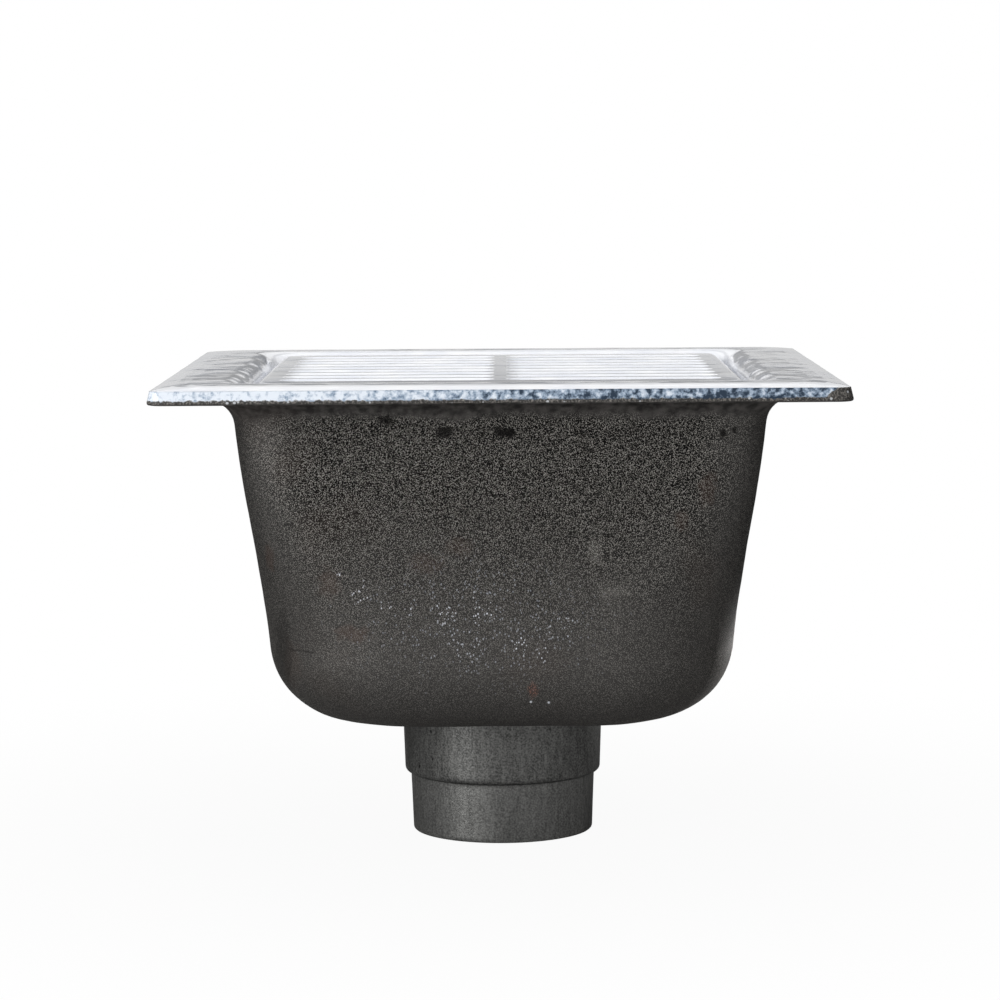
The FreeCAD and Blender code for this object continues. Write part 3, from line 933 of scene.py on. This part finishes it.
def domeLine(inset):
    # from the dome's foot to its crown
    s = strainer
    ball = s["ball"] - inset
    foot = math.asin((s["ringTop"] - s["ballCentre"]) / ball)
    turn = math.radians(s["crownTurn"])
    line = []
    for step in range(s["ballSteps"] + 1):
        angle = foot + (turn - foot) * step / s["ballSteps"]
        line.append((ball * math.cos(angle), s["ballCentre"] + ball * math.sin(angle)))
    reach, start = line[-1]
    rise = s["crown"] - inset - start
    power = reach / math.tan(turn) / rise      # meets the ball at the ball's own slope
    for step in range(1, s["crownSteps"] + 1):
        x = reach * (1 - step / s["crownSteps"])
        line.append((x, start + rise * (1 - (x / reach) ** power)))
    return line


def makeStrainer():
    s = strainer
    inner = s["skirt"] - s["wall"]
    section = [(inner, s["skirtFoot"]), (s["skirt"], s["skirtFoot"]), (s["skirt"], s["seat"]),
               (s["ring"], s["seat"]), (s["ring"], s["ringTop"])]
    section += domeLine(0) + domeLine(s["wall"])[::-1] + [(inner, s["ringTop"])]
    piece = spun("cast_strainer", section, s["around"])
    cutters = []
    for index in range(s["slots"]):
        length = s["ring"] - s["slotStart"]
        height = s["crown"] - s["slotFoot"] + s["clear"]
        cutter = block("cutter", (length, s["slotWidth"], height),
                       (s["slotStart"] + length / 2, 0, s["slotFoot"] + height / 2))
        bevelWhere(cutter, upright, s["slotWidth"] / 2 - 0.01, 5)
        clearSelection()
        cutter.select_set(True)
        bpy.ops.transform.rotate(value=math.tau * index / s["slots"], orient_axis="Z",
                                 center_override=(0, 0, 0))
        bpy.ops.object.transform_apply(location=True, rotation=True, scale=True)
        cutters.append(cutter)
    cutAway(piece, cutters)
    modifier(piece, "BEVEL", width=s["edgeRound"] * mm, segments=2, limit_method="ANGLE",
             angle_limit=math.radians(40))
    dress(piece, aluminiumSkin)
    print("strainer:", len(piece.data.polygons), "faces")
    return piece


strainerPiece = makeStrainer()
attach(strainerPiece, "root")
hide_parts("dome_strainer")


# Floor, world, lights, camera

stage = {
    "floor": "#949494",
    "floorWhite": 0.95,        # how white the camera sees it at the drain's foot; all white past the reach
    "shadowReach": 0.5,
    "floorShine": 0.6,         # how bright the drain mirrors it
    "nearShine": 0.22,
    "world": 0.06,
}


def makeFloor():
    clearSelection()
    bpy.ops.mesh.primitive_plane_add(size=24)
    floor = bpy.context.object
    floor.name = "studio_floor"
    material = bpy.data.materials.new("white studio floor, matt")
    material.use_nodes = True
    tree = material.node_tree
    tree.nodes.clear()
    place = addNode(tree, "ShaderNodeTexCoord").outputs["Object"]
    matt = addNode(tree, "ShaderNodeBsdfDiffuse", None, {"Color": linear(stage["floor"])}).outputs[0]
    glow = addNode(tree, "ShaderNodeEmission", None, {"Color": (1, 1, 1, 1), "Strength": 1.0}).outputs[0]
    path = addNode(tree, "ShaderNodeLightPath").outputs
    away = addNode(tree, "ShaderNodeVectorMath", {"operation": "LENGTH"}, {0: place}).outputs["Value"]
    white = addNode(tree, "ShaderNodeMapRange", {"interpolation_type": "SMOOTHSTEP"}, {
        "Value": away, "From Min": 0.05, "From Max": stage["shadowReach"],
        "To Min": stage["floorWhite"], "To Max": 1.0}).outputs[0]
    share = addNode(tree, "ShaderNodeMath", {"operation": "MULTIPLY"}, {
        0: path["Is Camera Ray"], 1: white}).outputs[0]
    # the iron mirrors the lit floor in front of the drain and close round it
    axes = addNode(tree, "ShaderNodeSeparateXYZ", None, {0: place}).outputs
    shine = addNode(tree, "ShaderNodeMapRange", {"interpolation_type": "SMOOTHSTEP"}, {
        "Value": axes[1], "From Min": -0.03, "From Max": -0.2, "To Max": stage["floorShine"]}).outputs[0]
    near = addNode(tree, "ShaderNodeMapRange", {"interpolation_type": "SMOOTHSTEP"}, {
        "Value": away, "From Min": 0.5, "From Max": 0.25, "To Max": stage["nearShine"]}).outputs[0]
    shine = addNode(tree, "ShaderNodeMath", {"operation": "MAXIMUM"}, {0: shine, 1: near}).outputs[0]
    share = addNode(tree, "ShaderNodeMath", {"operation": "MULTIPLY_ADD"}, {
        0: path["Is Glossy Ray"], 1: shine, 2: share}).outputs[0]
    mixed = addNode(tree, "ShaderNodeMixShader", None, {0: share, 1: matt, 2: glow}).outputs[0]
    addNode(tree, "ShaderNodeOutputMaterial", None, {"Surface": mixed})
    floor.data.materials.append(material)


def makeWorld():
    world = bpy.data.worlds.new("studio")
    bpy.context.scene.world = world
    world.use_nodes = True
    tree = world.node_tree
    tree.nodes.clear()
    path = addNode(tree, "ShaderNodeLightPath").outputs
    grey = addNode(tree, "ShaderNodeBackground", None, {
        "Color": (1, 1, 1, 1), "Strength": stage["world"]}).outputs[0]
    white = addNode(tree, "ShaderNodeBackground", None, {"Color": (1, 1, 1, 1), "Strength": 1.0}).outputs[0]
    mixed = addNode(tree, "ShaderNodeMixShader", None, {
        0: path["Is Camera Ray"], 1: grey, 2: white}).outputs[0]
    addNode(tree, "ShaderNodeOutputWorld", None, {"Surface": mixed})


lamps = [    # name, place, aimed at, width, depth, spread in degrees, watts
    ("overheadBox", (0.0, 0.3, 1.6), (0.0, 0.3, 0.0), 2.6, 3.0, 180, 31.0),
    ("keyStrip", (-1.56, -1.4, 0.72), (0.0, 0.0, 0.3), 0.25, 1.5, 180, 30.5),
    ("frontBox", (-0.93, -2.0, 0.75), (0.0, 0.0, 0.2), 0.7, 1.1, 180, 12.0),
    ("fillBox", (1.4, -1.67, 0.75), (0.0, 0.0, 0.2), 0.8, 1.1, 180, 5.4),
    ("horizonCard", (0.0, 3.0, 0.235), (0.0, 0.0, 0.235), 1.3, 0.37, 180, 0.78),
    ("lowCard", (0.0, 3.0, 0.82), (0.0, 0.0, 0.82), 1.3, 0.58, 180, 1.66),
    ("highCard", (0.0, 3.0, 1.55), (0.0, 0.0, 1.0), 1.3, 0.9, 180, 3.5),
    ("rimSnoot", (0.79, 0.95, 0.05), (0.115, -0.03, 0.052), 0.04, 0.04, 6, 0.055),
]


def makeLamps():
    for name, place, aim, width, depth, spread, watts in lamps:
        data = bpy.data.lights.new(name, "AREA")
        data.shape = "RECTANGLE"
        data.size, data.size_y, data.energy = width, depth, watts
        data.spread = math.radians(spread)
        lamp = bpy.data.objects.new(name, data)
        bpy.context.scene.collection.objects.link(lamp)
        lamp.location = place
        lamp.visible_camera = False
        lamp.rotation_euler = (Vector(aim) - Vector(place)).to_track_quat("-Z", "Y").to_euler()


camera = {
    "place": (0.85, -1615.0, 318.9),
    "pitch": 5.733,
    "roll": -0.370,
    "yaw": 0.046,
    "focal": 3424.5,           # focal length in pixels of a picture this wide
    "picture": 1000,
}


def makeCamera():
    data = bpy.data.cameras.new("photoCamera")
    data.sensor_width = 36.0
    data.lens = data.sensor_width * camera["focal"] / camera["picture"]
    lens = bpy.data.objects.new("photoCamera", data)
    bpy.context.scene.collection.objects.link(lens)
    lens.location = [p * mm for p in camera["place"]]
    turn = (Matrix.Rotation(math.radians(camera["yaw"]), 3, "Z")
            @ Matrix.Rotation(math.radians(90 - camera["pitch"]), 3, "X")
            @ Matrix.Rotation(math.radians(camera["roll"]), 3, "Z"))
    lens.rotation_euler = turn.to_euler()
    bpy.context.scene.camera = lens


makeFloor()
makeWorld()
makeLamps()
makeCamera()
bpy.context.scene.view_settings.view_transform = "Standard"
print("stage, lamps and camera set")
